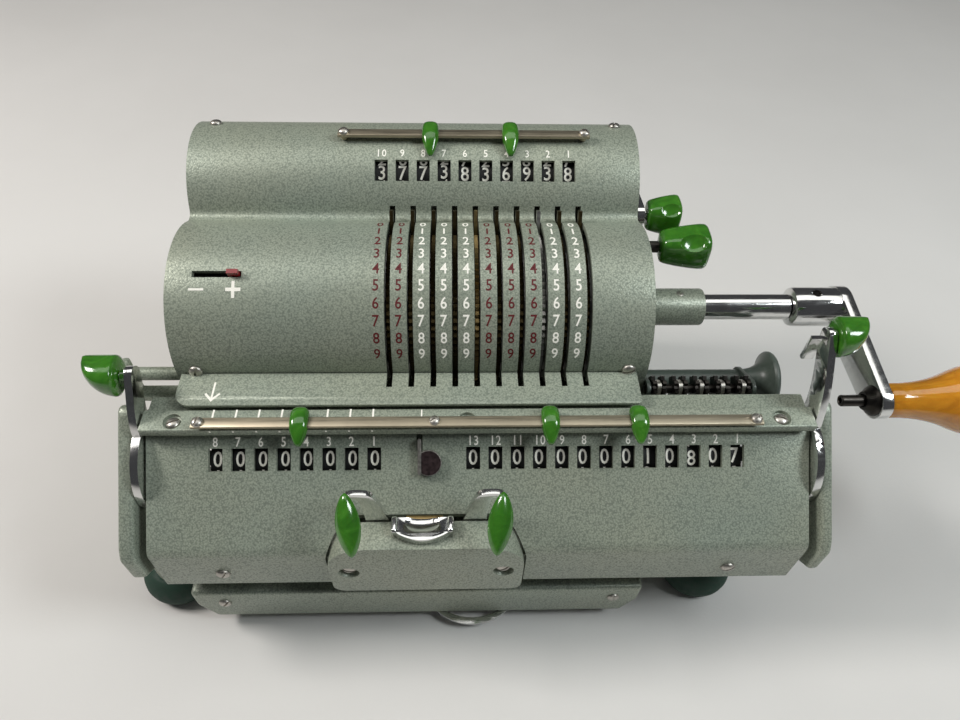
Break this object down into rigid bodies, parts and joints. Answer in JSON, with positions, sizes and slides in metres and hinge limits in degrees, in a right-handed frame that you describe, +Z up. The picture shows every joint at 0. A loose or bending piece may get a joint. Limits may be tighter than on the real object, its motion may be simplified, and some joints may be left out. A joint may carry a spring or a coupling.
{
  "type": "pinwheel calculating machine",
  "caption": "Hand-cranked desktop adding machine with a setting drum, a sliding register carriage, number windows and a side crank.",
  "frame": {"origin": "on the table, below the middle of the whole machine's bounding box", "axes": "+X to the operator's right along the drum axis, +Y away from the operator, +Z up"},
  "size_m": [0.3306, 0.1513, 0.1375],
  "materials": {
    "hammered_paint": "hammered grey-green stove enamel",
    "green_plastic": "glossy moulded plastic",
    "chrome_plate": "polished",
    "bare_steel": "brushed",
    "dark_steel": "blackened",
    "amber_plastic": "glossy marbled",
    "rubber": "matte",
    "dial_black": "satin black with white numerals",
    "red_plastic": "satin"
  },
  "bodies": {
    "base": {"base_pan": "hammered_paint", "front_rail": "hammered_paint", "side_frame_left": "bare_steel", "side_frame_right": "bare_steel", "main_cover": "hammered_paint", "apron_plate": "hammered_paint", "foot_front_left": "rubber", "foot_front_right": "rubber", "foot_rear_left": "rubber", "foot_rear_right": "rubber", "top_marker_bar": "bare_steel", "crank_bearing": "hammered_paint", "carriage_guide_rail": "bare_steel", "guide_tube_right": "hammered_paint", "guide_rod_left": "hammered_paint"},
    "carry_wheel_stack": {"carry_wheels": "dark_steel"},
    "rotor": {"rotor_drum": "bare_steel", "crank_shaft": "chrome_plate", "crank_arm": "chrome_plate"},
    "crank_pin": {"lock_pin": "dark_steel"},
    "crank_grip": {"crank_handle": "amber_plastic"},
    "carriage": {"carriage_cover": "hammered_paint", "carriage_rail_plate": "hammered_paint", "end_plate_left": "hammered_paint", "end_plate_right": "hammered_paint", "carriage_marker_bar": "bare_steel", "shift_block": "hammered_paint"},
    "counter_register": {"counter_dials": "dial_black"},
    "result_register": {"result_dials": "dial_black"},
    "left_reset": {"reset_lever_left": "chrome_plate", "reset_lever_left_knob": "green_plastic"},
    "right_reset": {"reset_lever_right": "chrome_plate", "reset_lever_right_knob": "green_plastic"},
    "left_shift_key": {"shift_lever_left": "chrome_plate", "shift_lever_left_tip": "green_plastic"},
    "right_shift_key": {"shift_lever_right": "chrome_plate", "shift_lever_right_tip": "green_plastic"},
    "carriage_latch": {"thumb_latch": "chrome_plate"},
    "mode_selector": {"mode_lever": "bare_steel"},
    "top_marker_a": {"top_marker_left": "green_plastic"},
    "top_marker_b": {"top_marker_right": "green_plastic"},
    "carriage_marker_a": {"carriage_marker_left": "green_plastic"},
    "carriage_marker_b": {"carriage_marker_middle": "green_plastic"},
    "carriage_marker_c": {"carriage_marker_right": "green_plastic"},
    "sign_selector": {"sign_slider": "red_plastic"},
    "input_clear": {"clear_lever": "chrome_plate", "clear_lever_knob": "green_plastic"},
    "back_transfer": {"transfer_lever": "dark_steel", "transfer_lever_knob": "green_plastic"},
    "input_register": {"input_dials": "dial_black"},
    "digit_setter_1": {"setting_lever_1": "bare_steel"},
    "digit_setter_2": {"setting_lever_2": "bare_steel"},
    "digit_setter_3": {"setting_lever_3": "bare_steel"},
    "digit_setter_4": {"setting_lever_4": "bare_steel"},
    "digit_setter_5": {"setting_lever_5": "bare_steel"},
    "digit_setter_6": {"setting_lever_6": "bare_steel"},
    "digit_setter_7": {"setting_lever_7": "bare_steel"},
    "digit_setter_8": {"setting_lever_8": "bare_steel"},
    "digit_setter_9": {"setting_lever_9": "bare_steel"},
    "digit_setter_10": {"setting_lever_10": "bare_steel"}
  },
  "joints": [
    {"name": "crank_turn", "type": "hinge", "parent": "base", "child": "rotor", "pos_m": [0.01305, 0.01035, 0.0907], "axis": [1, 0, 0], "continuous": true},
    {"name": "crank_pull", "type": "slide", "parent": "rotor", "child": "crank_pin", "axis": [1, 0, 0], "range_m": [0, 0.005], "stiffness_N_per_m": 400},
    {"name": "handle_spin", "type": "hinge", "parent": "crank_pin", "child": "crank_grip", "pos_m": [0.09525, -0.02635, 0.0841], "axis": [1, 0, 0], "continuous": true},
    {"name": "set_digit_1", "type": "hinge", "parent": "rotor", "child": "digit_setter_1", "pos_m": [-0.00469, 0.01035, 0.0907], "axis": [1, 0, 0], "range_deg": [0, 97.2]},
    {"name": "set_digit_2", "type": "hinge", "parent": "rotor", "child": "digit_setter_2", "pos_m": [-0.01169, 0.01035, 0.0907], "axis": [1, 0, 0], "range_deg": [0, 97.2]},
    {"name": "set_digit_3", "type": "hinge", "parent": "rotor", "child": "digit_setter_3", "pos_m": [-0.01869, 0.01035, 0.0907], "axis": [1, 0, 0], "range_deg": [0, 97.2]},
    {"name": "set_digit_4", "type": "hinge", "parent": "rotor", "child": "digit_setter_4", "pos_m": [-0.02569, 0.01035, 0.0907], "axis": [1, 0, 0], "range_deg": [0, 97.2]},
    {"name": "set_digit_5", "type": "hinge", "parent": "rotor", "child": "digit_setter_5", "pos_m": [-0.03269, 0.01035, 0.0907], "axis": [1, 0, 0], "range_deg": [0, 97.2]},
    {"name": "set_digit_6", "type": "hinge", "parent": "rotor", "child": "digit_setter_6", "pos_m": [-0.03969, 0.01035, 0.0907], "axis": [1, 0, 0], "range_deg": [0, 97.2]},
    {"name": "set_digit_7", "type": "hinge", "parent": "rotor", "child": "digit_setter_7", "pos_m": [-0.04669, 0.01035, 0.0907], "axis": [1, 0, 0], "range_deg": [0, 97.2]},
    {"name": "set_digit_8", "type": "hinge", "parent": "rotor", "child": "digit_setter_8", "pos_m": [-0.05369, 0.01035, 0.0907], "axis": [1, 0, 0], "range_deg": [0, 97.2]},
    {"name": "set_digit_9", "type": "hinge", "parent": "rotor", "child": "digit_setter_9", "pos_m": [-0.06069, 0.01035, 0.0907], "axis": [1, 0, 0], "range_deg": [0, 97.2]},
    {"name": "set_digit_10", "type": "hinge", "parent": "rotor", "child": "digit_setter_10", "pos_m": [-0.06769, 0.01035, 0.0907], "axis": [1, 0, 0], "range_deg": [0, 97.2]},
    {"name": "carriage_shift", "type": "slide", "parent": "base", "child": "carriage", "axis": [-1, 0, 0], "range_m": [0, 0.049]},
    {"name": "counter_count", "type": "hinge", "parent": "carriage", "child": "counter_register", "pos_m": [-0.05975, -0.03705, 0.0691], "axis": [1, 0, 0], "continuous": true},
    {"name": "result_count", "type": "hinge", "parent": "carriage", "child": "result_register", "pos_m": [-0.05975, -0.03705, 0.0691], "axis": [1, 0, 0], "continuous": true},
    {"name": "counter_reset", "type": "hinge", "parent": "carriage", "child": "left_reset", "pos_m": [-0.14415, -0.03705, 0.0691], "axis": [1, 0, 0], "range_deg": [0, 75]},
    {"name": "result_reset", "type": "hinge", "parent": "carriage", "child": "right_reset", "pos_m": [0.06775, -0.03705, 0.0691], "axis": [1, 0, 0], "range_deg": [0, 75]},
    {"name": "shift_left_press", "type": "hinge", "parent": "carriage", "child": "left_shift_key", "pos_m": [-0.078, -0.05865, 0.0672], "axis": [1, 0, 0], "range_deg": [0, 10], "stiffness_Nm_per_rad": 0.4},
    {"name": "shift_right_press", "type": "hinge", "parent": "carriage", "child": "right_shift_key", "pos_m": [-0.03365, -0.05865, 0.0672], "axis": [1, 0, 0], "range_deg": [0, 10], "stiffness_Nm_per_rad": 0.4},
    {"name": "latch_pull", "type": "slide", "parent": "carriage", "child": "carriage_latch", "axis": [0, -1, 0], "range_m": [0, 0.003], "stiffness_N_per_m": 300},
    {"name": "mode_slide", "type": "slide", "parent": "carriage", "child": "mode_selector", "axis": [0, -0.764, -0.6452], "range_m": [0, 0.003]},
    {"name": "top_marker_a_slide", "type": "slide", "parent": "base", "child": "top_marker_a", "axis": [1, 0, 0], "range_m": [-0.024, 0.01]},
    {"name": "top_marker_b_slide", "type": "slide", "parent": "base", "child": "top_marker_b", "axis": [1, 0, 0], "range_m": [-0.01, 0.019]},
    {"name": "carriage_marker_a_slide", "type": "slide", "parent": "carriage", "child": "carriage_marker_a", "axis": [1, 0, 0], "range_m": [-0.024, 0.035]},
    {"name": "carriage_marker_b_slide", "type": "slide", "parent": "carriage", "child": "carriage_marker_b", "axis": [1, 0, 0], "range_m": [-0.028, 0.01]},
    {"name": "carriage_marker_c_slide", "type": "slide", "parent": "carriage", "child": "carriage_marker_c", "axis": [1, 0, 0], "range_m": [-0.01, 0.03]},
    {"name": "sign_slide", "type": "slide", "parent": "base", "child": "sign_selector", "axis": [-1, 0, 0], "range_m": [0, 0.0105]},
    {"name": "input_clear_pull", "type": "hinge", "parent": "base", "child": "input_clear", "pos_m": [0.01645, 0.05215, 0.1089], "axis": [1, 0, 0], "range_deg": [-50, 0]},
    {"name": "back_transfer_pull", "type": "hinge", "parent": "base", "child": "back_transfer", "pos_m": [0.01645, 0.01035, 0.0907], "axis": [1, 0, 0], "range_deg": [0, 40]},
    {"name": "carry_count", "type": "hinge", "parent": "base", "child": "carry_wheel_stack", "pos_m": [0.01625, -0.02095, 0.084], "axis": [1, 0, 0], "continuous": true},
    {"name": "input_count", "type": "hinge", "parent": "base", "child": "input_register", "pos_m": [-0.05975, 0.04435, 0.1193], "axis": [1, 0, 0], "continuous": true}
  ]
}
